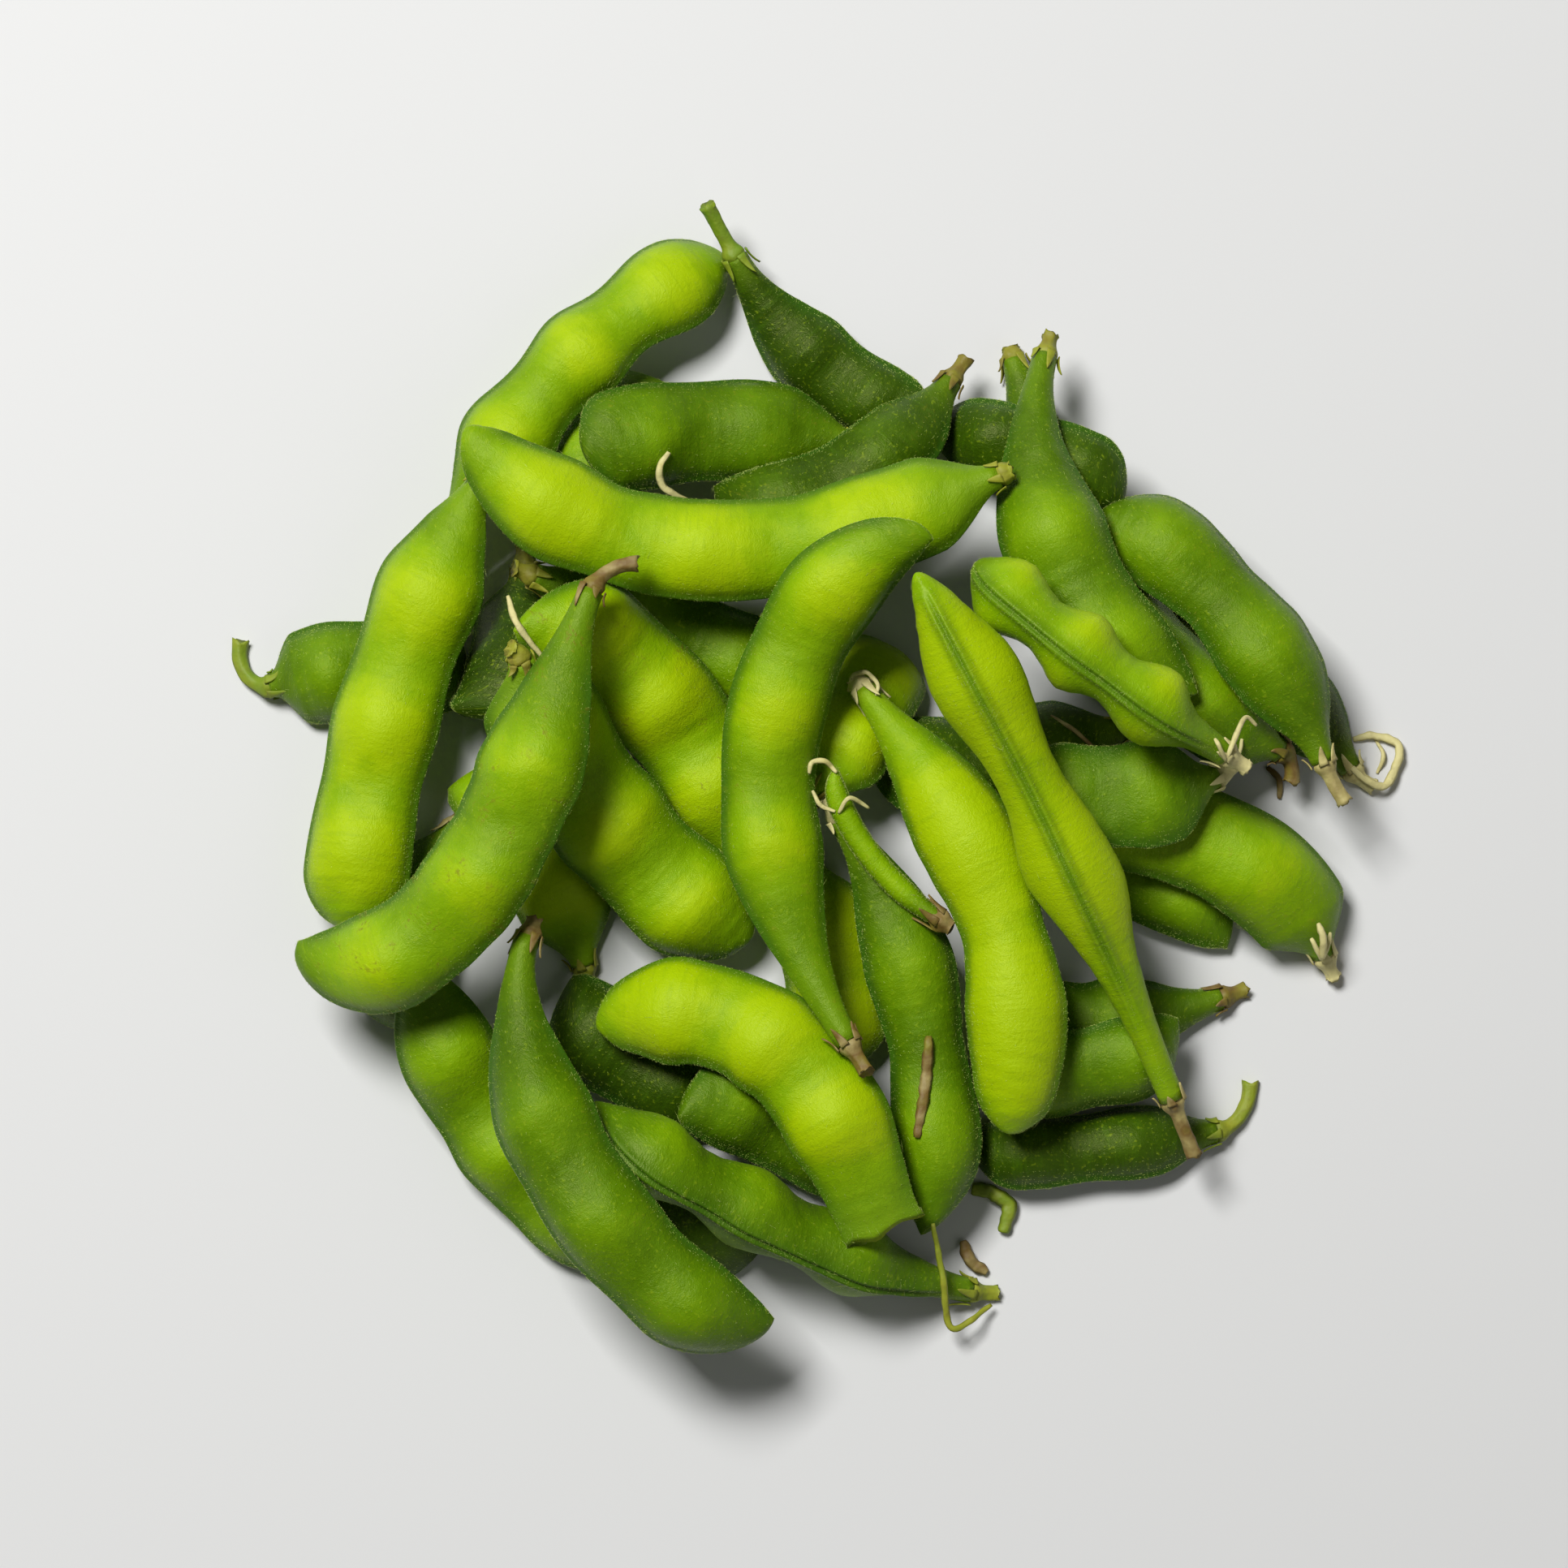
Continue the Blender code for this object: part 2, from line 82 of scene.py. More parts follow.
# ---- how fine the skin is ------------------------------------------------------------------
RINGS = 104
SIDES = 48
TOWARDS_BEAK = 1.45  # above 1 draws the rings together at the beak
SEAM_CROWDING = 0.55  # above 0 draws the lines of the skin together at the seams
SEAM_WIDTH = 0.42
DOUBLE_SEAM_SPREAD = 0.55
SEAM_BAND = 1.05  # how far the seam's colour reaches on each side of it
DOUBLE_SEAM_COLOUR = 0.7  # how dark it is, as a share of a single seam
SEAM_UP_ROLL = 30  # a pod that is rolled further shows the double ridge of its seam
DENT_HEIGHT = 0.18
CREASE_HEIGHT = 0.07
SEAM_WAVE = 0.1  # how far a seam wanders in and out
RAGGED = 0.45  # how far a torn rim stands out and in
MOUTH_REACH = 1.2  # how far from a torn rim that is felt
RIDGE_HEIGHT, BETWEEN_RIDGES = 1.3, 0.4  # of a double seam, as shares of SEAM_HEIGHT
FIT_ROUNDS = 7
FIT_PART = (0.06, 0.93)  # the part of a pod's length whose corners say how it lies

# ---- hairs ---------------------------------------------------------------------------------
HAIRS_PER_POD = 1900
HAIR_LENGTH = (0.5, 1.6)
HAIR_RADIUS = 0.018
HAIR_TRIES = 6  # places drawn for each hair that may grow
HAIR_SEED, STALK_SEED, FIBRE_SEED = 1000, 2000, 3000  # the first seeds; the skins start at 0

# ---- the pods ------------------------------------------------------------------------------
Pod = namedtuple(
    "Pod", "foot tip bow beans width roll plump stalk curl torn peak neck full waist beak tint",
    defaults=(0, 3, 12.5, 0, 1.0, 1.5, 0, False, 0.5, 0.25, 1.0, 0.1, 1.0, 0.5),
)
Lie = namedtuple("Lie", "slide height lean droop")

# A pod's tint sets how yellow its skin is; on pods that lie in shade it is set low, which is painted
# shade.
# From the bottom of the heap up.
PODS = {
    "pod_dark_gap": Pod((41, 8), (8, 3), 2, 2, 12, 10, tint=0.1),
    "pod_right_dark": Pod((69.4, 2.8), (40, 23), -3, 2, 11, 12, 1, 2.5, 20, tint=0),
    "pod_right_low": Pod((52.7, -26.2), (24, -29), 1.5, 2, 10, 0, 1, 2.3, neck=0.45, tint=0.45),
    "pod_stalk_right": Pod((52, -42.9), (21, -46.2), 0.4, 2, 8.4, 10, 1.25, 6.5, 75, tint=0.1),
    "pod_right_lower": Pod((20, -37.5), (47.7, -32.6), -0.5, 2, 10, 15, tint=0.45),
    "pod_stalk_left": Pod(
        (-66.2, 13.2), (-41, 15.7), 0.8, 2, 11.8, 10, 1, 6, -110, neck=0.15, tint=0.45
    ),
    "pod_brown_end": Pod((-43.5, -5), (-49.8, -31), -2, 2, 11, 10, tint=0.25),
    "pod_left_gap": Pod((-35.5, 28), (-39.5, 8.5), 1.5, 1, 12, 20, tint=0),
    "pod_shaded": Pod((-33, 26), (0, 12.5), 0.5, 2, 11.5, 10, tint=0.5),
    "pod_left_pale": Pod((-27, -22), (-41, 3), -2, 2, 11.5, 0, tint=0.9),
    "pod_back_narrow": Pod((27.2, 54.5), (32, 28), 0.5, 2, 9.5, 30, 1, 0.5, neck=0.5, tint=0.35),
    "pod_back_pointed": Pod((16, 45.8), (41.5, 36.8), 0.5, 2, 9.5, 15, tint=0.1),
    "pod_back_pale": Pod((-28, 31), (-20.5, 53.5), 1, 1, 11.5, 10, tint=0.6),
    "pod_front_left": Pod((-47.5, -20), (-19, -59.5), -5.8, 3, 11.5, 0, tint=0.6),
    "pod_fuzzy": Pod((-20.5, -51), (-4.5, -57), -1, 1, 10, 15, 0.8, tint=0.15),
    "pod_front_round": Pod((-6, -41), (-31, -27), 1, 2, 12, 0, tint=0.05),
    "pod_front_inner": Pod((12, -50), (-14, -37.5), -1, 2, 11.5, 10, tint=0.35),
    "pod_right_slim": Pod((22, -7), (55.2, -16.8), 1.5, 2, 9.5),
    "pod_under_arch": Pod((2, -2), (12, 18), -1, 2, 11.5, 0, tint=0.9),
    "pod_beside_arch": Pod((1, -9), (5, -36), 0.8, 2, 11.5, 10, tint=1),
    "pod_right_inner": Pod((60, 4.5), (34, 30), 3.3, 2, 11.8, 10, 1, 3, -60, neck=0.15, tint=0.5),
    "pod_right_top": Pod((64.3, 2), (36.8, 34.5), -3.6, 2, 11.8, 12, 1, 4.5, 10, waist=0.2),
    "pod_back_left": Pod((-44, 31), (-9.3, 67.3), 4, 3, 11.5, -5, waist=0.3, beak=0, tint=0.8),
    "pod_back_stalk": Pod((-8, 66.8), (15, 46), -2.5, 2, 10, 15, 1, 6, neck=0.5, tint=0.05),
    "pod_back_middle": Pod((7, 44), (-26.8, 42), -2.5, 2, 12.6, 0, beak=0, tint=0.35),
    "pod_back_dark": Pod((18.5, 51.5), (-11, 34.5), 4.2, 2, 10.3, 20, 1, 2.5, tint=0.15),
    "pod_far_right": Pod((65.3, -21.5), (28, -1), -5, 2, 12.8, 0, 1, 2, peak=0.38, neck=0.12, tint=0.7),
    "pod_leaf": Pod((51.5, 0.5), (28, -1.5), 1.5, 2, 12.5, 0, 0.5, 2, 20, tint=0.45),
    "pod_back_right": Pod(
        (30.7, 53.5), (45.2, 8.2), -6.5, 2, 12.5, 5, 1, 2, peak=0.46, neck=0.5, tint=0.55
    ),
    "pod_seam_up": Pod((52, 2.6), (20.6, 26.2), 1.2, 3, 10, 70, 1.3, 2, tint=0.75),
    "pod_slim": Pod(
        (5, -4.6), (18.3, -55.2), 3.8, 2, 10.5, 0, 1, 2, peak=0.4, neck=0.3, waist=0.25, tint=0.5
    ),
    "pod_left": Pod((-38.5, 38), (-55, -18.5), -3.2, 3, 12.8, 5, waist=0.12, beak=0, tint=0.85),
    "pod_middle_left": Pod((-4, -13), (-32.8, 22.3), -4.6, 3, 13.5, 5, tint=0.85),
    "pod_middle": Pod(
        (-33.5, 14.5), (-6, -19.5), -3.6, 3, 14, 0, 1, 0.8, 20, neck=0.12, beak=0.2, tint=0.75
    ),
    "pod_front_double": Pod(
        (21.5, -62), (-25, -41.2), 2.2, 3, 11.8, 60, 1.1, 2.5, 10, peak=0.45, neck=0.3
    ),
    "pod_top_back": Pod(
        (24.5, 36.5), (-41.7, 42), 12, 3, 12, 0, 1, 0.5, peak=0.56, neck=0.13, full=0.9,
        beak=0.2, tint=0.85
    ),
    "pod_torn": Pod(
        (10, -56), (-25.8, -29.8), -10.3, 3, 12.6, 0, 1, 0, 0, True, 0.55, beak=0.2, tint=0.9
    ),
    "pod_front_hooked": Pod(
        (-32.6, -19.2), (-4.3, -69.8), -9.3, 3, 11.8, 5, 1, 1.2, peak=0.45, neck=0.35,
        full=0.8, tint=0.35
    ),
    "pod_top_left": Pod(
        (-25.4, 22.3), (-63.5, -24.2), 11.4, 3, 12.6, 5, 1, 5, -60, peak=0.63, neck=0.35,
        full=0.78, tint=0.7
    ),
    "pod_thin": Pod((17, -17), (3.5, 1), 2, 0, 3.0, 0, 1, 1, tint=0.6),
    "pod_brightest": Pod(
        (7.3, 11.2), (25, -43.8), 7, 2, 11.6, 5, 1, 0.6, peak=0.54, neck=0.3, waist=0.25, beak=0, tint=1
    ),
    "pod_top_right": Pod(
        (46.7, -38.8), (14.8, 24.4), -1.2, 2, 10.8, 80, 1.35, 6.5, neck=0.42, waist=0.3, beak=0.3, tint=1
    ),
    "pod_top_middle": Pod(
        (6, -32.5), (14.4, 32.2), 14.2, 3, 11.6, 10, 1, 3, peak=0.53, neck=0.35, full=0.88, tint=0.75
    ),
}

# What else differs from pod to pod. mottle: how much of the skin is browned. dry: the stalk's
# colour, from 0, green, over 0.5, brown, to 1, bleached.
Look = namedtuple("Look", "mottle dry", defaults=(0.1, 0.35))
LOOKS = {
    "pod_top_left": Look(0.75, 0.55),
    "pod_middle_left": Look(0.65, 0.5),
    "pod_front_hooked": Look(0.25, 0.5),
    "pod_top_right": Look(0.1, 0.6),
    "pod_right_top": Look(0.3, 0.6),
    "pod_right_inner": Look(0.3, 0.55),
    "pod_right_dark": Look(0.1, 0.7),
    "pod_back_dark": Look(0.35, 0.45),
    "pod_back_stalk": Look(0.1, 0.1),
    "pod_back_middle": Look(0.35, 0.3),
    "pod_stalk_left": Look(0.1, 0.15),
    "pod_stalk_right": Look(0.1, 0.2),
    "pod_far_right": Look(0.3, 0.8),
    "pod_seam_up": Look(0.1, 0.9),
    "pod_leaf": Look(0.05, 0.85),
    "pod_slim": Look(0.1, 0.85),
    "pod_thin": Look(0.2, 0.5),
    "pod_brightest": Look(0.02, 0.95),
    "pod_top_middle": Look(0.35, 0.55),
    "pod_brown_end": Look(0.9, 0.6),
    "pod_front_left": Look(0.2, 0.6),
    "pod_front_double": Look(0.1, 0.25),
    "pod_right_low": Look(0.1, 0.5),
}


# ---- the formula ---------------------------------------------------------------------------
def ease(share):
    """A smooth rise from 0 to 1."""
    share = np.clip(share, 0.0, 1.0)
    return share * share * (3 - 2 * share)


def bean_swell(pod, along):
    """1 over a bean and 0 well away from the beans."""
    if pod.beans == 0:
        return np.ones_like(along)
    first = pod.neck * BEANS_START
    spacing = (BEANS_END - first) / pod.beans
    swell = np.zeros_like(along)
    for bean in range(pod.beans):
        offset = (along - first - (bean + 0.5) * spacing) / (BEAN_REACH * spacing)
        swell += np.exp(-offset * offset)
    return np.minimum(swell, 1.0)


def half_sizes(pod, along):
    """Half the width, half the thickness and the lean to the hollow edge at shares of the length."""
    swell = bean_swell(pod, along)
    width = pod.width * (1 - pod.waist * (1 - swell))
    thickness = BEAN_THICKNESS * pod.plump * pod.width / USUAL_WIDTH
    thickness = thickness * (BETWEEN_BEANS + (1 - BETWEEN_BEANS) * swell)
    opening = ease(along / pod.neck)
    if pod.torn:
        width = width * (TORN_WIDTH + (1 - TORN_WIDTH) * opening)
        thickness = TORN_THICKNESS + (thickness - TORN_THICKNESS) * opening
    else:
        neck = min(NECK_DIAMETER, pod.width * WIDEST_NECK)
        width = neck + (width - neck) * opening
        thickness = neck + (thickness - neck) * opening
    tip_share = TIP_SHARE if pod.beak else ROUND_TIP_SHARE
    closing = np.clip((along - 1 + tip_share) / tip_share, 0.0, 1.0)
    open_share = (1 - closing**2) ** TIP_POWER
    lean = math.copysign(BEAK_LEAN * pod.beak, -pod.bow) * (1 - open_share) * width / 2
    return width * open_share / 2, thickness * open_share / 2, lean


def pod_length(pod):
    return math.dist(pod.foot, pod.tip)


def middle_line(pod, along):
    """Points of the pod's middle line, seen from above, in its own frame, with the foot at 0."""
    if pod.peak < 0.5:
        bend = 1 - (1 - along) ** (math.log(0.5) / math.log(1 - pod.peak))
    else:
        bend = along ** (math.log(0.5) / math.log(pod.peak))
    bow = pod.bow * (4 * bend * (1 - bend)).clip(0) ** pod.full
    return np.stack((pod_length(pod) * along, bow), axis=-1)


def stalk_line(pod, back):
    """Points of the stalk's middle line, at distances back from the foot."""
    start, step = middle_line(pod, np.array((0.0, STALK_STEP)))
    heading = math.atan2(*(step - start)[::-1]) + math.pi
    bend = math.radians(pod.curl) / max(pod.stalk, 1.0)
    heading = heading + bend * back / 2
    return start + back[:, None] * np.stack((np.cos(heading), np.sin(heading)), axis=-1)


def hang_share(forward, length):
    """How much of its droop a pod has at a place along it: 1 in its middle, 0 at its ends."""
    return 4 * forward / length * (1 - forward / length)


def lifted(pod, lie, plan):
    """The points of a plan line, leaned and bent as the pod lies, in the pod's own frame."""
    stretch = math.hypot(1.0, lie.lean)
    hang = lie.droop / stretch * hang_share(plan[:, 0], pod_length(pod))
    return np.stack((plan[:, 0] * stretch, plan[:, 1], -hang), axis=-1)


def cross_frames(line):
    """The directions to the left of a line and above it, at each of its points."""
    forward = np.gradient(line, axis=0)
    forward /= np.linalg.norm(forward, axis=1, keepdims=True)
    sideways = np.stack((-forward[:, 1], forward[:, 0], np.zeros(len(line))), axis=-1)
    sideways /= np.linalg.norm(sideways, axis=1, keepdims=True)
    return sideways, np.cross(forward, sideways)


def placed(pod, lie):
    """The pod's frame: its foot over its place, and X turned to its tip and leaned."""
    across, ahead = pod.tip[0] - pod.foot[0], pod.tip[1] - pod.foot[1]
    leftward = np.array((-ahead, across)) / pod_length(pod)
    turn = Euler((0, -math.atan(lie.lean), math.atan2(ahead, across))).to_matrix()
    foot = np.array(pod.foot) + lie.slide * leftward - MIDDLE
    return np.array(turn), np.array((*foot, lie.height)), leftward


def to_world(pod, lie, points):
    turn, foot, _ = placed(pod, lie)
    return points @ turn.T + foot


def crowded_angles():
    """Angles round the section, closer together at the two seams, at 0 and at half a turn."""
    even = np.arange(SIDES) * math.tau / SIDES
    return even - SEAM_CROWDING * np.sin(2 * even) / 2


def plain_skin(pod, lie, along, angle):
    """The skin without its detail: an array of rings of points, in the bundle's frame."""
    line = lifted(pod, lie, middle_line(pod, along))
    half_width, half_thickness, lean = half_sizes(pod, along)
    left = np.outer(half_width, np.cos(angle)) + lean[:, None]
    up = np.outer(half_thickness, np.copysign(np.abs(np.sin(angle)) ** FLANK_POWER, np.sin(angle)))
    return to_world(pod, lie, laid_round(line, left, up, pod.roll))


def laid_round(line, left, up, roll_degrees):
    """The points at these distances to the left of a line and above it, after the roll."""
    roll = math.radians(roll_degrees)
    sideways, upward = cross_frames(line)
    across = (left * math.cos(roll) - up * math.sin(roll))[..., None]
    height = (left * math.sin(roll) + up * math.cos(roll))[..., None]
    return line[:, None] + across * sideways[:, None] + height * upward[:, None]


# ---- how each pod lies ---------------------------------------------------------------------
def outward(grid):
    """The normals of a skin's points."""
    ahead = np.gradient(grid, axis=0)
    around = np.roll(grid, -1, axis=1) - np.roll(grid, 1, axis=1)
    normal = np.cross(ahead, around)
    length = np.linalg.norm(normal, axis=2, keepdims=True)
    return normal / np.maximum(length, 1e-9)


def read_lie(pod, node):
    """How the pod lies: its plain skin is moved until it meets the corners of its CAD node."""
    corners = np.array([vertex.co for vertex in node.data.vertices]) / MM
    corners = np.unique(np.round(corners, 3), axis=0)
    along, angle = np.linspace(0.02, 0.97, 60), crowded_angles()
    _, foot, leftward = placed(pod, Lie(0, 0, 0, 0))
    chord = np.array((leftward[1], -leftward[0]))
    forward = (corners[:, :2] - foot[:2]) @ chord
    basis = np.stack((np.ones_like(forward), forward, -hang_share(forward, pod_length(pod))), 1)
    height, lean, droop = np.linalg.lstsq(basis, corners[:, 2], rcond=None)[0]
    lie = Lie(0.0, height, lean, droop)
    first, last = np.array(FIT_PART) * pod_length(pod)
    inside = (forward > first) & (forward < last)
    inside &= corners[:, 2] > 0.05
    for _ in range(FIT_ROUNDS):
        grid = plain_skin(pod, lie, along, angle)
        normals = outward(grid).reshape(-1, 3)
        points = grid.reshape(-1, 3)
        tree = KDTree(len(points))
        for index, point in enumerate(points):
            tree.insert(point, index)
        tree.balance()
        rows, gaps = [], []
        for corner, ahead in zip(corners[inside], forward[inside]):
            index = tree.find(corner)[1]
            normal = normals[index]
            rise = normal[2]
            share = hang_share(ahead, pod_length(pod))
            rows.append((normal[:2] @ leftward, rise, rise * ahead, -rise * share))
            gaps.append(normal @ (corner - points[index]))
        rows, gaps = np.array(rows), np.array(gaps)
        close = np.abs(gaps) < max(1.0, 2 * np.median(np.abs(gaps)))
        step = np.linalg.lstsq(rows[close], gaps[close], rcond=None)[0]
        lie = Lie(*(np.array(lie) + step))
    return lie


# ---- meshes --------------------------------------------------------------------------------
def new_mesh(name, points, faces, material, attributes=None):
    """A smooth object of points in millimetres, with a number or a vector for each point."""
    data = bpy.data.meshes.new(name)
    data.from_pydata(np.asarray(points) * MM, [], faces)
    for key, values in (attributes or {}).items():
        values = np.asarray(values, np.float32)
        kind = "FLOAT_VECTOR" if values.ndim == 2 else "FLOAT"
        field = "vector" if values.ndim == 2 else "value"
        data.attributes.new(key, kind, "POINT").data.foreach_set(field, values.ravel())
    data.materials.append(material)
    data.shade_smooth()
    piece = bpy.data.objects.new(name, data)
    bpy.context.scene.collection.objects.link(piece)
    return piece


def tube_faces(rings, sides):
    """The faces of a closed tube whose first and last points are its two poles."""
    first = 1
    around = [(side, (side + 1) % sides) for side in range(sides)]
    faces = [(0, first + b, first + a) for a, b in around]
    for ring in range(rings - 1):
        low, high = first + ring * sides, first + (ring + 1) * sides
        faces += [(low + a, low + b, high + b, high + a) for a, b in around]
    last = first + (rings - 1) * sides
    faces += [(last + a, last + b, last + sides) for a, b in around]
    return faces


def with_poles(grid, start=None, end=None):
    """The points of rings, with a pole before them and one after them."""
    start = grid[0].mean(axis=0) if start is None else start
    end = grid[-1].mean(axis=0) if end is None else end
    return np.concatenate((start[None], grid.reshape(-1, 3), end[None]))


# ---- skins ---------------------------------------------------------------------------------
def ripple(random, x, y, waves, shortest, longest):
    """A smooth irregular relief between about -1 and 1, over places in millimetres."""
    relief = np.zeros(np.broadcast(x, y).shape)
    for _ in range(waves):
        length = random.uniform(shortest, longest)
        turn = random.uniform(0, math.tau)
        phase = random.uniform(0, math.tau)
        relief += np.sin((x * math.cos(turn) + y * math.sin(turn)) * math.tau / length + phase)
    return relief / math.sqrt(waves)


def fine_alongs():
    """Rings, closer together towards the beak."""
    return 1 - np.linspace(1.0, 0.004, RINGS) ** TOWARDS_BEAK


def seam_relief(distance, double):
    """How far the seam stands out at a distance from its middle."""
    single = np.exp(-((distance / SEAM_WIDTH) ** 2))
    if not double:
        return SEAM_HEIGHT * single
    ridges = np.exp(-(((distance - DOUBLE_SEAM_SPREAD) / (0.8 * SEAM_WIDTH)) ** 2))
    between = np.exp(-((distance / (2.2 * DOUBLE_SEAM_SPREAD)) ** 2))
    return SEAM_HEIGHT * (RIDGE_HEIGHT * ridges + BETWEEN_RIDGES * between)


def skin_piece(name, pod, lie, material):
    """The pod's skin. Returns its object and its rings of points."""
    random = np.random.default_rng(list(PODS).index(name))
    along, angle = fine_alongs(), crowded_angles()
    line = lifted(pod, lie, middle_line(pod, along))
    half_width, half_thickness, lean = half_sizes(pod, along)
    cosine, sine = np.cos(angle), np.sin(angle)
    swell = bean_swell(pod, along)
    forward = (pod_length(pod) * along)[:, None]
    around = np.outer(half_width, 1 - cosine) * np.sign(sine)
    fat = np.minimum(half_width / COLLAR_RADIUS - 1, 1).clip(0)[:, None]

    up = np.outer(half_thickness, np.copysign(np.abs(sine) ** FLANK_POWER, sine))
    flank = np.abs(sine)[None]
    dents = DENT_HEIGHT * ripple(random, forward, around, 9, 6, 16)
    creases = CREASE_HEIGHT * ripple(random, forward * 1.6, around * 0.35, 9, 2.2, 4)
    creases = creases * (0.35 + 0.65 * (1 - swell[:, None]))
    up = up + np.sign(sine) * flank * fat * (dents + creases)
    left = np.outer(half_width, cosine) + lean[:, None]
    wave = SEAM_WAVE * ripple(random, forward, 0, 5, 5, 12)
    for edge, side in ((1, cosine > 0), (-1, cosine < 0)):
        double = pod.roll > SEAM_UP_ROLL and edge == 1
        stand = seam_relief(np.abs(up), double) * fat + wave * fat * np.abs(cosine)
        left = left + edge * side * stand
    if pod.torn:
        ragged = RAGGED * ripple(random, 0, around[:1], 6, 1.5, 5)
        mouth = np.exp(-forward / MOUTH_REACH)
        line = line[:, None] - np.array((1.0, 0, 0)) * (ragged * mouth)[..., None]
        grid = laid_round(line[:, 0], left, up, pod.roll) + (line - line[:, :1])
        grid = with_mouth(grid)
    else:
        grid = laid_round(line, left, up, pod.roll)
    rows = len(grid)
    grid = to_world(pod, lie, grid)
    grid[..., 2] = np.maximum(grid[..., 2], 0.0)

    extra = rows - len(along)
    rim = np.concatenate((np.repeat(0, extra), np.arange(len(along))))
    distance = np.abs(up)[rim]
    seam_colour = np.where((cosine > 0) & (pod.roll > SEAM_UP_ROLL), DOUBLE_SEAM_COLOUR, 1.0)
    attributes = {
        "bulge": (swell[:, None] * flank**0.8 * ease(along / pod.neck)[:, None])[rim],
        "edge": np.exp(-((distance / SEAM_BAND) ** 2)) * fat[rim] * seam_colour,
        "along": np.broadcast_to(along[:, None], up.shape)[rim],
        # A low tint is partly the pod's deeper green and partly painted shade.
        "tint": np.full(distance.shape, pod.tint),
        "mottle": np.full(distance.shape, LOOKS.get(name, Look()).mottle),
    }
    places = np.stack(np.broadcast_arrays(forward, around, 37.0 * random.random()), axis=-1)[rim]
    values = {}
    for key, numbers in attributes.items():
        values[key] = np.concatenate((numbers[0, :1], numbers.ravel(), numbers[-1, :1]))
    values["place"] = np.concatenate((places[0, :1], places.reshape(-1, 3), places[-1, :1]))
    faces = tube_faces(rows, SIDES)
    piece = new_mesh(name.replace("pod", "skin"), with_poles(grid), faces, material, values)
    return piece, grid


def with_mouth(grid):
    """Rings ahead of a torn end's rim that turn back into it, so that it is a lip."""
    middle = grid[:4].mean(axis=1, keepdims=True)
    inner = [middle[3] + 0.35 * (grid[3] - middle[3])]
    inner += [middle[2] + 0.6 * (grid[2] - middle[2]), middle[1] + 0.78 * (grid[1] - middle[1])]
    return np.concatenate((np.array(inner), grid))


# ---- hairs ---------------------------------------------------------------------------------
def hairs_piece(name, pod, grid, material):
    """Short pale hairs, densest along the seams, at the neck and at the tip."""
    random = np.random.default_rng(HAIR_SEED + list(PODS).index(name))
    normals = outward(grid)
    rows = len(grid)
    ring = random.uniform(2, rows - 2.01, HAIR_TRIES * HAIRS_PER_POD)
    side = random.integers(0, SIDES, len(ring))
    share = ring - ring.astype(int)
    low, high = grid[ring.astype(int), side], grid[ring.astype(int) + 1, side]
    root = low + share[:, None] * (high - low)
    normal = normals[ring.astype(int), side]
    girth = np.linalg.norm(grid[:, 0] - grid[:, SIDES // 2], axis=1)[ring.astype(int)]
    seam = np.abs(np.cos(crowded_angles()[side])) ** 6
    ends = np.abs(ring / rows - 0.5) * 2
    chance = girth / pod.width * (0.16 + 0.8 * seam + 0.4 * ends**4)
    kept = (random.random(len(ring)) < chance) & (root[:, 2] > 1.0)
    chosen = np.flatnonzero(kept)[:HAIRS_PER_POD]
    root, normal = root[chosen], normal[chosen]
    tipward = (high - low)[chosen]
    tipward /= np.linalg.norm(tipward, axis=1, keepdims=True)
    lay = 0.8 * normal + random.normal(0.45, 0.3, (len(chosen), 1)) * tipward
    lay += random.normal(0, 0.3, lay.shape)
    lay /= np.linalg.norm(lay, axis=1, keepdims=True)
    length = random.uniform(*HAIR_LENGTH, (len(chosen), 1))
    first = np.cross(lay, tipward + 0.01)
    first /= np.linalg.norm(first, axis=1, keepdims=True)
    second = np.cross(lay, first)
    faces = []
    base = root - 0.1 * normal
    corners = [base + lay * length]
    for turn in (0, math.tau / 3, 2 * math.tau / 3):
        corners.append(base + HAIR_RADIUS * (first * math.cos(turn) + second * math.sin(turn)))
    points = np.stack(corners, axis=1).reshape(-1, 3)
    points[:, 2] = np.maximum(points[:, 2], 0.0)
    for hair in range(len(chosen)):
        tip = 4 * hair
        faces += [(tip, tip + 1, tip + 2), (tip, tip + 2, tip + 3), (tip, tip + 3, tip + 1)]
        faces.append((tip + 1, tip + 3, tip + 2))
    return new_mesh(name.replace("pod", "hairs"), points, faces, material)


# ---- stalks --------------------------------------------------------------------------------
STALK_SIDES = 20
LOBE_SIDES = 8
LOBE_RINGS = 7
CALYX_LOBES = 5
LOBE_THICKNESS = 0.14  # half of it
LOBE_WIDTH = 0.62  # half of it, at the collar


def ring_points(line, radius, turns, sides):
    """Rings round a line, whose radius may differ at each of their points."""
    sideways, upward = cross_frames(line)
    angle = np.arange(sides) * math.tau / sides + turns
    left = radius * np.cos(angle)
    up = radius * np.sin(angle)
    return line[:, None] + left[..., None] * sideways[:, None] + up[..., None] * upward[:, None]


def joined(parts):
    """One list of points and one of faces from several."""
    points, faces, count = [], [], 0
    for more_points, more_faces in parts:
        points.append(more_points)
        faces += [tuple(corner + count for corner in face) for face in more_faces]
        count += len(more_points)
    return np.concatenate(points), faces


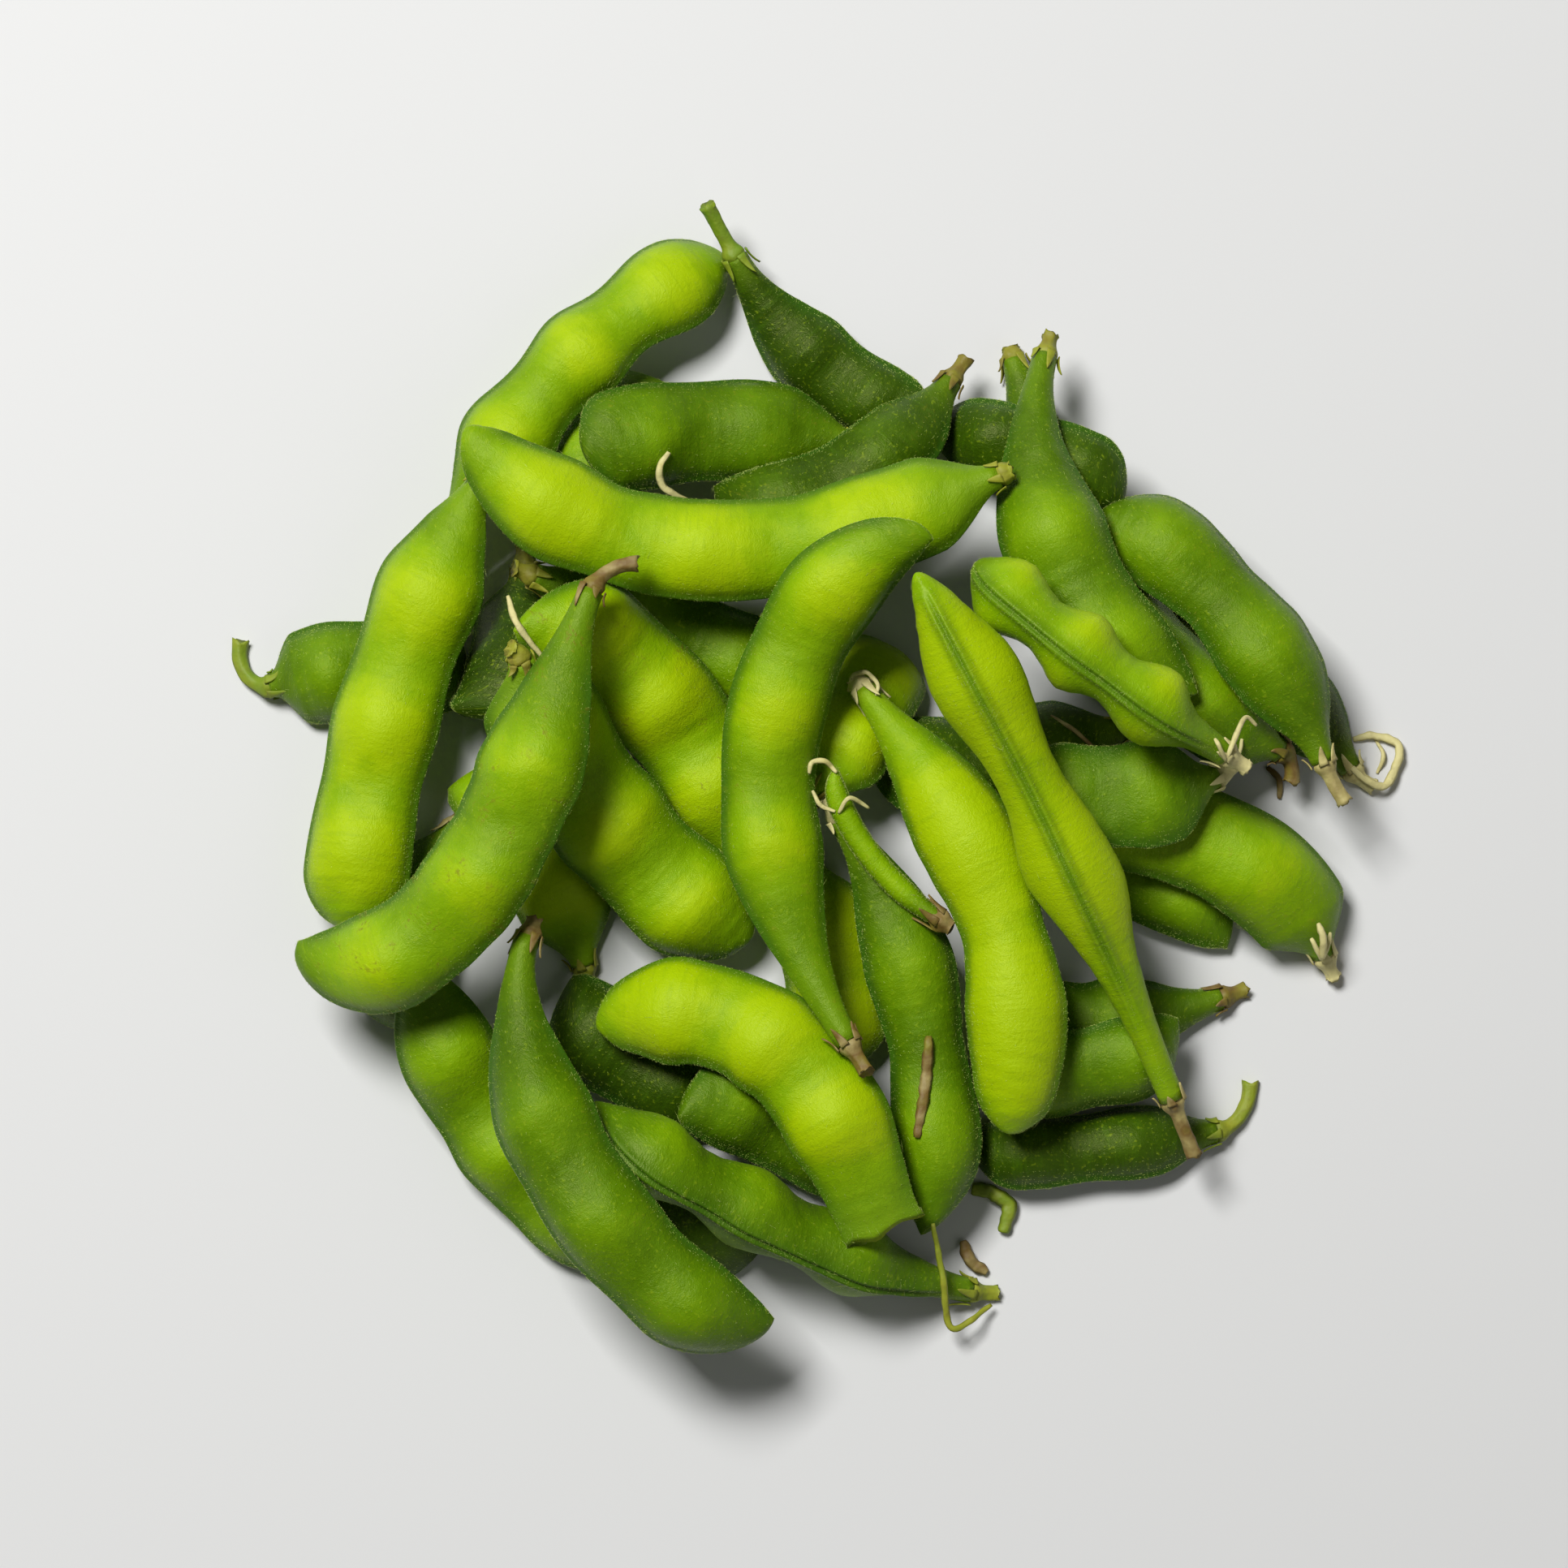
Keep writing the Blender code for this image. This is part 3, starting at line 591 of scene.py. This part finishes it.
def stalk_part(pod, lie, random):
    """The stalk from the foot to its cut end, with its ribs."""
    end = COLLAR_LENGTH + pod.stalk
    collar_rings = np.linspace(-1.2, COLLAR_LENGTH, 8)
    back = np.concatenate((collar_rings, np.linspace(COLLAR_LENGTH, end, 16)[1:]))
    line = lifted(pod, lie, stalk_line(pod, back))
    collar = np.exp(-(((back - 0.45 * COLLAR_LENGTH) / (0.75 * COLLAR_LENGTH)) ** 2))
    share = np.clip((back - COLLAR_LENGTH) / max(pod.stalk, 0.5), 0, 1)
    radius = STALK_RADIUS * (0.88 + 0.2 * share**6) + 0.62 * collar
    radius = np.minimum(radius, pod.width / 2 + 0.2)
    angle = np.arange(STALK_SIDES) * math.tau / STALK_SIDES
    ribs = 0.06 * np.cos(5 * angle + random.uniform(0, 6))
    ribs = ribs + 0.04 * np.cos(9 * angle + random.uniform(0, 6))
    lumps = 0.05 * ripple(random, back[:, None], 2 * angle[None], 6, 1.2, 3)
    grid = ring_points(line, radius[:, None] * (1 + ribs + lumps), 0.0, STALK_SIDES)
    torn = 0.25 * ripple(random, 0, 3 * angle[None], 4, 2, 5)[0]
    way = line[-1] - line[-2]
    grid[-1] += torn[:, None] * way / np.linalg.norm(way)
    start = line[0] + 0.4 * (line[1] - line[0])
    last = line[-1] - 0.35 * way / np.linalg.norm(way)
    points = with_poles(grid, start, last)
    faces = tube_faces(len(grid), STALK_SIDES)
    return to_world(pod, lie, points), faces


def sepal_part(pod, lie, random, angle):
    """One dried lobe of the calyx, from the collar along the neck."""
    length = random.uniform(1.4, 3.0)
    back = 0.35 * COLLAR_LENGTH - np.linspace(0, length, LOBE_RINGS)
    axis = lifted(pod, lie, stalk_line(pod, back))
    sideways, upward = cross_frames(axis)
    share = np.linspace(0, 1, LOBE_RINGS)
    flare = random.uniform(0.1, 0.9)
    off = min(COLLAR_RADIUS, pod.width / 2) * 0.98 + flare * share**2
    aim = angle + random.uniform(-0.2, 0.2) + 0.25 * share * random.uniform(-1, 1)
    outside = sideways * np.cos(aim)[:, None] + upward * np.sin(aim)[:, None]
    beside = -sideways * np.sin(aim)[:, None] + upward * np.cos(aim)[:, None]
    width = LOBE_WIDTH * (1 - share) ** 0.7 + 0.05
    turn = np.arange(LOBE_SIDES) * math.tau / LOBE_SIDES
    line = axis + off[:, None] * outside
    grid = line[:, None] + (width[:, None] * np.cos(turn))[..., None] * beside[:, None]
    grid = grid + (LOBE_THICKNESS * np.sin(turn))[None, :, None] * outside[:, None]
    return to_world(pod, lie, with_poles(grid)), tube_faces(LOBE_RINGS, LOBE_SIDES)


def stalk_piece(name, pod, lie, material):
    """The pod's stalk with the lobes of its calyx."""
    random = np.random.default_rng(STALK_SEED + list(PODS).index(name))
    parts = [stalk_part(pod, lie, random)]
    for lobe in range(CALYX_LOBES):
        parts.append(sepal_part(pod, lie, random, lobe * math.tau / CALYX_LOBES))
    points, faces = joined(parts)
    points[:, 2] = np.maximum(points[:, 2], 0.0)
    dry = np.full(len(points), LOOKS.get(name, Look()).dry)
    return new_mesh(name.replace("pod", "stalk"), points, faces, material, {"dry": dry})


# ---- loose fibres --------------------------------------------------------------------------
# Strings and scraps of dry stalk that hang on the pods. Each has the places that it passes, seen
# from above in the frame of the pods' places, how thick it is, how dry it is, as a stalk is, and
# how high its middle stands over what it lies on.
Fibre = namedtuple("Fibre", "places radius dry arch", defaults=(0.3, 1.0, 0.8))
FIBRES = {
    "right_loop": Fibre(
        ((69.4, 2.7), (71, 1.3), (73.8, 0.6), (75.6, 5.4), (72.6, 6.9), (69.8, 6.5)), 0.42
    ),
    "right_strip": Fibre(((72.6, 6.7), (73.6, 4.4), (72.8, 2.2)), 0.2, 1.0, 0.4),
    "bright_curl": Fibre(((6.1, 11.4), (6.7, 13.2), (8.3, 13.5), (9.7, 12), (9.5, 10.6)), 0.22),
    "leaf_string_1": Fibre(((52, 1.5), (53, 4), (54.5, 7), (56, 6.2)), 0.25),
    "leaf_string_2": Fibre(((52.2, 1.4), (54.4, 3.4), (55, 5.6)), 0.2),
    "leaf_string_3": Fibre(((52, 1.6), (51.2, 3), (50.6, 4.2)), 0.22),
    "far_string_1": Fibre(((65.3, -21.5), (65.2, -19), (64.6, -17.2)), 0.35),
    "far_string_2": Fibre(((65.4, -21.4), (66, -19.6), (66.3, -18.2)), 0.25),
    "far_string_3": Fibre(((65.2, -21.6), (64.4, -20.2), (63.8, -19)), 0.25),
    "slim_curl_1": Fibre(((4.4, -4), (2.6, -3.2), (1.6, -1.4)), 0.22),
    "slim_curl_2": Fibre(((4.8, -4.2), (6.2, -2.4), (8.6, -3.5)), 0.22),
    "thin_hook": Fibre(((1.2, 0.6), (1.6, 2), (3.2, 2.1), (4.6, 0.8)), 0.26, 0.8),
    "dark_straw": Fibre(((31.5, 9), (34.6, 7), (37.5, 4.5)), 0.22, 0.6, 0.2),
    "front_straw": Fibre(((16.5, -54.5), (17.8, -61), (19, -67.4), (24, -64.5)), 0.32, 0.3, 0.2),
    "green_hook": Fibre(((21.6, -50), (24.4, -50.6), (26.2, -52.4), (25.5, -55.5)), 0.75, 0.15, 0.6),
    "brown_hook": Fibre(((20.5, -56.5), (21.4, -59), (23.5, -60.5)), 0.6, 0.55, 0.4),
    "brown_stick": Fibre(((16, -31.5), (15.6, -37), (14.5, -44)), 0.55, 0.5, 0.1),
    "back_curl": Fibre(((-16.2, 41), (-17.3, 39), (-16.8, 36.6), (-13.5, 35)), 0.35, 0.75),
    "middle_string": Fibre(((-35.9, 22.4), (-34.6, 18.6), (-31.6, 14.8)), 0.32, 0.9, 0.4),
    "inner_curl": Fibre(((59, 3), (60.4, 1.4), (60.5, -1)), 0.3, 0.55, 0.5),
}
FIBRE_STEPS = 14  # from one place to the next
FIBRE_SIDES = 8
STEEPEST_FIBRE = 0.4  # how steeply a fibre comes down from what it lies on
ABOVE_ALL = 200.0


def smooth_line(places):
    """A curve through the places: each stretch is bent by the places beside it."""
    places = np.array(places, float)
    wide = np.concatenate((2 * places[:1] - places[1:2], places, 2 * places[-1:] - places[-2:-1]))
    line = []
    for before, start, end, after in zip(wide, wide[1:], wide[2:], wide[3:]):
        for share in np.arange(FIBRE_STEPS) / FIBRE_STEPS:
            bend = (2 * before - 5 * start + 4 * end - after) * share**2
            twist = (3 * start - before - 3 * end + after) * share**3
            line.append((2 * start + (end - before) * share + bend + twist) / 2)
    return np.array(line + [places[-1]])


def top_under(trees, plan):
    """The height of the heap, or of the surface beside it, under each point."""
    heights = []
    for x, y in plan:
        hits = [tree.ray_cast(Vector((x, y, ABOVE_ALL)) * MM, Vector((0, 0, -1)))[0] for tree in trees]
        heights.append(max([hit.z / MM for hit in hits if hit is not None], default=0.0))
    return np.array(heights)


def fibre_piece(name, fibre, trees, material):
    """A fibre laid over the heap, which can't come down more steeply than it bends."""
    random = np.random.default_rng(FIBRE_SEED + list(FIBRES).index(name))
    plan = smooth_line(fibre.places) - MIDDLE
    steps = np.linalg.norm(np.diff(plan, axis=0), axis=1)
    run = np.concatenate(((0.0,), np.cumsum(steps)))
    ground = top_under(trees, plan) + fibre.radius * 0.7
    away = np.abs(run[:, None] - run[None])
    height = (ground[None] - STEEPEST_FIBRE * away).max(axis=1)
    height += fibre.arch * np.sin(math.pi * run / run[-1]) + 0.2 * ripple(random, run, 0, 4, 2, 6)
    height = np.maximum(height, fibre.radius)
    line = np.column_stack((plan, height))
    angle = np.arange(FIBRE_SIDES) * math.tau / FIBRE_SIDES
    ends = 0.55 + 0.45 * np.sin(math.pi * run / run[-1]) ** 0.5
    lumps = 1 + 0.12 * ripple(random, run[:, None], 2 * angle[None], 6, 1, 3)
    radius = fibre.radius * ends[:, None] * lumps
    grid = ring_points(line, radius * (1 + 0.35 * np.cos(2 * angle)), 0.0, FIBRE_SIDES)
    grid[..., 2] = np.maximum(grid[..., 2], 0.0)
    points = with_poles(grid)
    values = {"dry": np.full(len(points), fibre.dry)}
    return new_mesh("fibre_" + name, points, tube_faces(len(grid), FIBRE_SIDES), material, values)


# ---- materials -----------------------------------------------------------------------------
def empty_material(name):
    material = bpy.data.materials.new(name)
    material.use_nodes = True
    return material, material.node_tree, material.node_tree.nodes["Principled BSDF"]


def add(tree, kind, inputs=None, **settings):
    """A node with its settings and with its inputs set or linked."""
    node = tree.nodes.new("ShaderNode" + kind)
    for key, value in settings.items():
        setattr(node, key, value)
    for key, value in (inputs or {}).items():
        if isinstance(value, bpy.types.NodeSocket):
            tree.links.new(value, node.inputs[key])
        else:
            node.inputs[key].default_value = value
    return node


def number(tree, operation, first, second, third=0.0):
    """The result of arithmetic on numbers or sockets, kept between 0 and 1."""
    node = add(tree, "Math", {0: first, 1: second, 2: third}, operation=operation, use_clamp=True)
    return node.outputs[0]


def value_of(tree, name):
    """One of the numbers that a mesh has at each point."""
    return add(tree, "Attribute", attribute_name=name).outputs["Fac"]


def ramp(tree, amount, stops):
    """The colour at an amount, between stops of a place and a colour."""
    node = add(tree, "ValToRGB", {0: amount})
    elements = node.color_ramp.elements
    while len(elements) < len(stops):
        elements.new(0.5)
    for element, (place, colour) in zip(elements, stops):
        element.position = place
        element.color = (*colour, 1)
    return node.outputs[0]


def mixed(tree, amount, first, second, blend="MIX"):
    node = add(tree, "Mix", {0: amount}, data_type="RGBA", blend_type=blend)
    for socket, colour in ((node.inputs[6], first), (node.inputs[7], second)):
        if isinstance(colour, bpy.types.NodeSocket):
            tree.links.new(colour, socket)
        else:
            socket.default_value = (*colour, 1)
    return node.outputs[2]


def noise_at(tree, place, scale, detail=3.0, stretch=(1, 1, 1)):
    """Noise over places in millimetres, with this many waves per millimetre."""
    moved = add(tree, "Mapping", {"Vector": place, "Scale": stretch}).outputs[0]
    return add(tree, "TexNoise", {"Vector": moved, "Scale": scale, "Detail": detail}).outputs[0]


def band(tree, amount, low, high):
    """0 below low, 1 above high, and smooth between them."""
    inputs = {"Value": amount, "From Min": low, "From Max": high}
    return add(tree, "MapRange", inputs, interpolation_type="SMOOTHSTEP").outputs[0]


def skin_material():
    """Moist green skin: yellow over the beans, deeper between them, dark along the seams, with painted
    shade on pods whose tint is low.
    """
    material, tree, shader = empty_material("pod_skin")
    place = add(tree, "Attribute", attribute_name="place").outputs["Vector"]
    bulge, edge = value_of(tree, "bulge"), value_of(tree, "edge")
    broad = noise_at(tree, place, 0.09)
    patchy = noise_at(tree, place, 0.45, 5)
    fine = noise_at(tree, place, 2.2, 4)
    streaks = noise_at(tree, place, 1.0, 3, (1.9, 0.28, 1))

    # Each step stays between 0 and 1, so what a low tint takes away comes off at the end. A low tint is
    # partly a deeper green and partly painted shade on pods that lie in shade; it reaches the darkest
    # stops of the ramp.
    ripeness_and_shade = number(tree, "MULTIPLY_ADD", value_of(tree, "tint"), 0.98, -0.5)
    fullness_and_shade = number(tree, "MULTIPLY_ADD", value_of(tree, "tint"), 0.5, 0.06)
    ripeness_and_shade = number(tree, "MULTIPLY_ADD", bulge, fullness_and_shade, ripeness_and_shade)
    ripeness_and_shade = number(tree, "MULTIPLY_ADD", broad, 0.34, ripeness_and_shade)
    ripeness_and_shade = number(tree, "MULTIPLY_ADD", patchy, 0.28, ripeness_and_shade)
    ripeness_and_shade = number(tree, "MULTIPLY_ADD", ripeness_and_shade, 0.77, 0.1)
    unripe_and_shade = number(tree, "MULTIPLY_ADD", value_of(tree, "tint"), -0.75, 0.26)
    ripeness_and_shade = number(tree, "SUBTRACT", ripeness_and_shade, unripe_and_shade)
    colour = ramp(tree, ripeness_and_shade, (
        (0.0, (0.013, 0.034, 0.0005)),
        (0.23, (0.036, 0.084, 0.0005)),
        (0.46, (0.100, 0.208, 0.0005)),
        (0.7, (0.218, 0.385, 0.0005)),
        (1.0, (0.470, 0.615, 0.001)),
    ))
    grain = number(tree, "MULTIPLY", band(tree, fine, 0.56, 0.75), 0.3)
    colour = mixed(tree, grain, colour, (0.40, 0.54, 0.015))
    streak = number(tree, "MULTIPLY", band(tree, streaks, 0.5, 0.72), 0.14)
    colour = mixed(tree, streak, colour, (0.10, 0.25, 0.004))
    colour = mixed(tree, number(tree, "MULTIPLY", edge, 0.8), colour, (0.030, 0.105, 0.006))
    neck = band(tree, value_of(tree, "along"), 0.16, 0.0)
    colour = mixed(tree, number(tree, "MULTIPLY", neck, 0.5), colour, (0.17, 0.30, 0.008))
    specks = number(tree, "MULTIPLY", band(tree, patchy, 0.52, 0.72), value_of(tree, "mottle"))
    dots = number(tree, "MULTIPLY", band(tree, fine, 0.5, 0.66), specks)
    colour = mixed(tree, number(tree, "MULTIPLY", dots, 0.8), colour, (0.14, 0.085, 0.010))
    tree.links.new(colour, shader.inputs["Base Color"])

    gloss = add(tree, "MapRange", {"Value": patchy, "To Min": 0.28, "To Max": 0.58}).outputs[0]
    tree.links.new(gloss, shader.inputs["Roughness"])
    shader.inputs["Specular IOR Level"].default_value = 0.3
    shader.inputs["Specular Tint"].default_value = (0.95, 1.0, 0.4, 1)
    shader.inputs["Subsurface Weight"].default_value = 0.2
    shader.inputs["Subsurface Radius"].default_value = (1.0, 0.95, 0.08)
    shader.inputs["Subsurface Scale"].default_value = 0.0022
    shader.inputs["Sheen Weight"].default_value = 0.02
    shader.inputs["Sheen Roughness"].default_value = 0.4
    shader.inputs["Sheen Tint"].default_value = (0.92, 0.95, 0.45, 1)

    pebble = noise_at(tree, place, 6.5, 2)
    relief = number(tree, "MULTIPLY_ADD", streaks, 0.22, number(tree, "MULTIPLY", fine, 0.4))
    relief = number(tree, "MULTIPLY_ADD", pebble, 0.3, relief)
    bump = add(tree, "Bump", {"Height": relief, "Strength": 0.6, "Distance": 0.0004})
    tree.links.new(bump.outputs[0], shader.inputs["Normal"])
    return material


def hair_material():
    """Pale yellow green hairs."""
    material, _, shader = empty_material("pod_hair")
    shader.inputs["Base Color"].default_value = (0.56, 0.68, 0.15, 1)
    shader.inputs["Roughness"].default_value = 0.45
    shader.inputs["Subsurface Weight"].default_value = 0.0
    return material


def stalk_material():
    """Fibrous stalk: green, brown or bleached, darker between its fibres."""
    material, tree, shader = empty_material("pod_stalk")
    place = add(tree, "TexCoord").outputs["Object"]
    fibres = noise_at(tree, place, 900, 4)
    patches = noise_at(tree, place, 260, 3)
    dryness = number(tree, "MULTIPLY_ADD", patches, 0.5, value_of(tree, "dry"))
    dryness = number(tree, "SUBTRACT", dryness, 0.25)
    colour = ramp(tree, dryness, (
        (0.0, (0.13, 0.25, 0.004)),
        (0.3, (0.30, 0.32, 0.015)),
        (0.52, (0.17, 0.10, 0.018)),
        (0.72, (0.60, 0.53, 0.20)),
        (1.0, (0.88, 0.86, 0.60)),
    ))
    grain = number(tree, "MULTIPLY", band(tree, fibres, 0.52, 0.75), 0.3)
    colour = mixed(tree, grain, colour, (0.16, 0.12, 0.03))
    tree.links.new(colour, shader.inputs["Base Color"])
    shader.inputs["Roughness"].default_value = 0.62
    bump = add(tree, "Bump", {"Height": fibres, "Strength": 0.6, "Distance": 0.0003})
    tree.links.new(bump.outputs[0], shader.inputs["Normal"])
    return material


# ---- floor, light and camera ---------------------------------------------------------------
CAMERA_DISTANCE = 750.0
CAMERA_TILT = 5.0  # from the vertical, towards the front
VIEW_WIDTH = 193.2  # the frame's width, at the height that the camera aims at
AIM = (-1.9 - MIDDLE[0], -0.6 - MIDDLE[1], 17.0)
FLOOR_SIZE = 6.0  # in metres, as are the places and sizes of the lights


def floor():
    bpy.ops.mesh.primitive_plane_add(size=FLOOR_SIZE)
    plane = bpy.context.object
    plane.name = "floor"
    material, _, shader = empty_material("pale_floor")
    shader.inputs["Base Color"].default_value = (0.68, 0.68, 0.67, 1)
    shader.inputs["Roughness"].default_value = 0.7
    shader.inputs["Specular IOR Level"].default_value = 0.2
    plane.data.materials.append(material)


def area_light(name, place, size, power):
    data = bpy.data.lights.new(name, "AREA")
    data.size = size
    data.energy = power
    light = bpy.data.objects.new(name, data)
    light.location = place
    light.rotation_euler = (-Vector(place)).to_track_quat("-Z", "Y").to_euler()
    bpy.context.scene.collection.objects.link(light)


def lights():
    area_light("key", (-0.35, 0.40, 0.95), 0.35, 14)
    area_light("fill", (0.7, -0.5, 0.8), 0.9, 1.1)
    world = bpy.data.worlds.new("studio")
    world.use_nodes = True
    world.node_tree.nodes["Background"].inputs["Color"].default_value = (1, 1, 1, 1)
    world.node_tree.nodes["Background"].inputs["Strength"].default_value = 0.07
    bpy.context.scene.world = world
    bpy.context.scene.view_settings.view_transform = "Standard"


def camera():
    data = bpy.data.cameras.new("camera")
    data.angle = 2 * math.atan(VIEW_WIDTH / 2 / CAMERA_DISTANCE)
    data.clip_start = 0.01
    viewer = bpy.data.objects.new("camera", data)
    tilt = math.radians(CAMERA_TILT)
    offset = Vector((0, -math.sin(tilt), math.cos(tilt))) * CAMERA_DISTANCE
    viewer.location = (Vector(AIM) + offset) * MM
    viewer.rotation_euler = (tilt, 0, 0)
    bpy.context.scene.collection.objects.link(viewer)
    bpy.context.scene.camera = viewer


def bundle(frame):
    """Every pod's skin, hairs and stalk in place of its CAD node, and the loose fibres."""
    skin, hair, stalk = skin_material(), hair_material(), stalk_material()
    trees = []
    for name, pod in PODS.items():
        lie = read_lie(pod, frame["nodes"][name])
        body, grid = skin_piece(name, pod, lie, skin)
        trees.append(BVHTree.FromPolygons(with_poles(grid) * MM, tube_faces(len(grid), SIDES)))
        pieces = [body, hairs_piece(name, pod, grid, hair)]
        if not pod.torn:
            pieces.append(stalk_piece(name, pod, lie, stalk))
        for piece in pieces:
            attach(piece, "root")
        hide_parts(name)
    for name, fibre in FIBRES.items():
        piece = fibre_piece(name, fibre, trees, stalk)
        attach(piece, "root")


def main():
    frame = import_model()
    camera()
    bundle(frame)
    floor()
    lights()


main()
